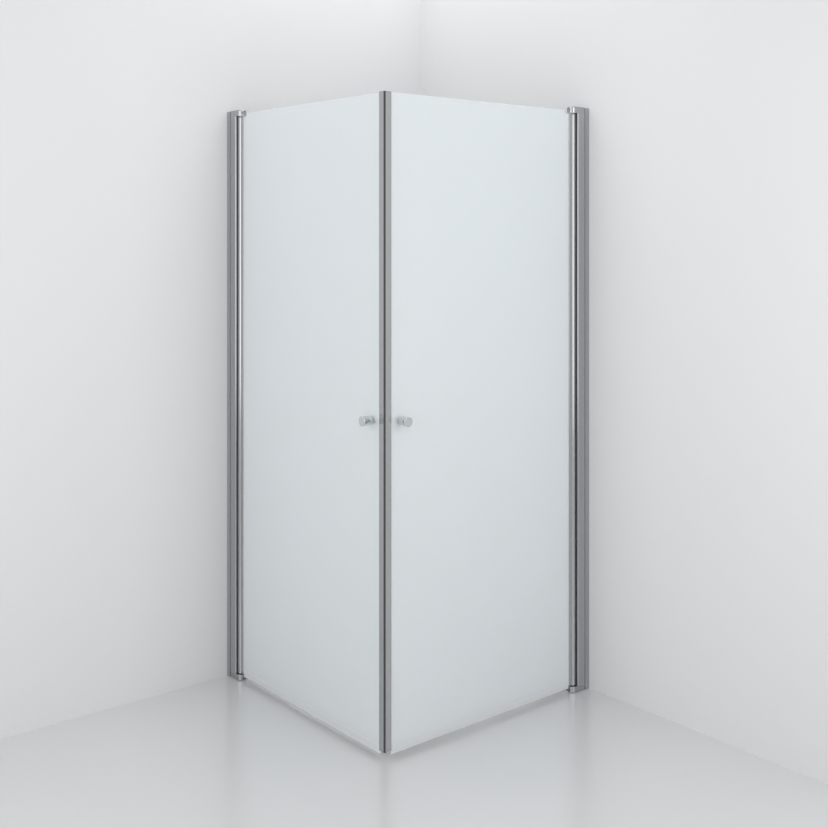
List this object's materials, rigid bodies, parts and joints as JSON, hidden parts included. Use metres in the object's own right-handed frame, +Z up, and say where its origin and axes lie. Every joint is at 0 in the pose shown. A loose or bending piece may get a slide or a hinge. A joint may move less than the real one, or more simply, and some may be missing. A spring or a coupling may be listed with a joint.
{
  "type": "corner-entry shower enclosure",
  "caption": "Square shower enclosure for a room corner: frosted glass doors hinged on wall posts, closing at the free corner on mitred magnetic seals.",
  "frame": {"origin": "corner of the room at floor level, where the two walls that carry the enclosure meet", "axes": "+Z up; the left wall is the plane x = 0 and the right wall the plane y = 0, so the enclosure lies at +X and -Y; seen from outside, the left door runs along X and the right door along Y"},
  "size_m": [0.926, 0.926, 2],
  "materials": {
    "anodised_aluminium": "bright anodised, drawn lengthwise",
    "cast_aluminium": "cast, polished and anodised to match the profiles",
    "chrome": "polished",
    "stainless_steel": "machined",
    "frosted_glass": "satin-etched inside, smooth outside",
    "black_rubber": "satin",
    "clear_plastic": "translucent",
    "grey_plastic": "moulded",
    "magnet": "flexible magnet bar"
  },
  "bodies": {
    "wall_frame": {"left_wall_channel": "anodised_aluminium", "left_channel_cap": "grey_plastic", "left_post": "anodised_aluminium", "left_post_seals": "black_rubber", "left_top_bracket": "cast_aluminium", "left_bottom_bracket": "cast_aluminium", "left_top_pin": "stainless_steel", "left_bottom_pin": "stainless_steel", "left_pin_screws": "stainless_steel", "left_bracket_screws": "stainless_steel", "left_clamp_screws": "stainless_steel", "right_wall_channel": "anodised_aluminium", "right_channel_cap": "grey_plastic", "right_post": "anodised_aluminium", "right_post_seals": "black_rubber", "right_top_bracket": "cast_aluminium", "right_bottom_bracket": "cast_aluminium", "right_top_pin": "stainless_steel", "right_bottom_pin": "stainless_steel", "right_pin_screws": "stainless_steel", "right_bracket_screws": "stainless_steel", "right_clamp_screws": "stainless_steel"},
    "left_door": {"left_hinge_profile": "anodised_aluminium", "left_top_bush": "grey_plastic", "left_bottom_bush": "grey_plastic", "left_glass": "frosted_glass", "left_hinge_gasket": "clear_plastic", "left_closing_gasket": "clear_plastic", "left_closing_profile": "anodised_aluminium", "left_magnet_seal": "black_rubber", "left_magnet": "magnet", "left_bottom_seal": "clear_plastic", "left_knob": "chrome", "left_knob_stud": "stainless_steel", "left_knob_sleeve": "clear_plastic", "left_knob_washers": "clear_plastic", "left_inner_cap": "chrome"},
    "right_door": {"right_hinge_profile": "anodised_aluminium", "right_top_bush": "grey_plastic", "right_bottom_bush": "grey_plastic", "right_glass": "frosted_glass", "right_hinge_gasket": "clear_plastic", "right_closing_gasket": "clear_plastic", "right_closing_profile": "anodised_aluminium", "right_magnet_seal": "black_rubber", "right_magnet": "magnet", "right_bottom_seal": "clear_plastic", "right_knob": "chrome", "right_knob_stud": "stainless_steel", "right_knob_sleeve": "clear_plastic", "right_knob_washers": "clear_plastic", "right_inner_cap": "chrome"}
  },
  "joints": [
    {"name": "left_door_swing", "type": "hinge", "parent": "wall_frame", "child": "left_door", "pos_m": [0.065, -0.8805, 0], "axis": [0, 0, -1], "range_deg": [0, 90]},
    {"name": "right_door_swing", "type": "hinge", "parent": "wall_frame", "child": "right_door", "pos_m": [0.8805, -0.065, 0], "axis": [0, 0, 1], "range_deg": [0, 90]}
  ]
}
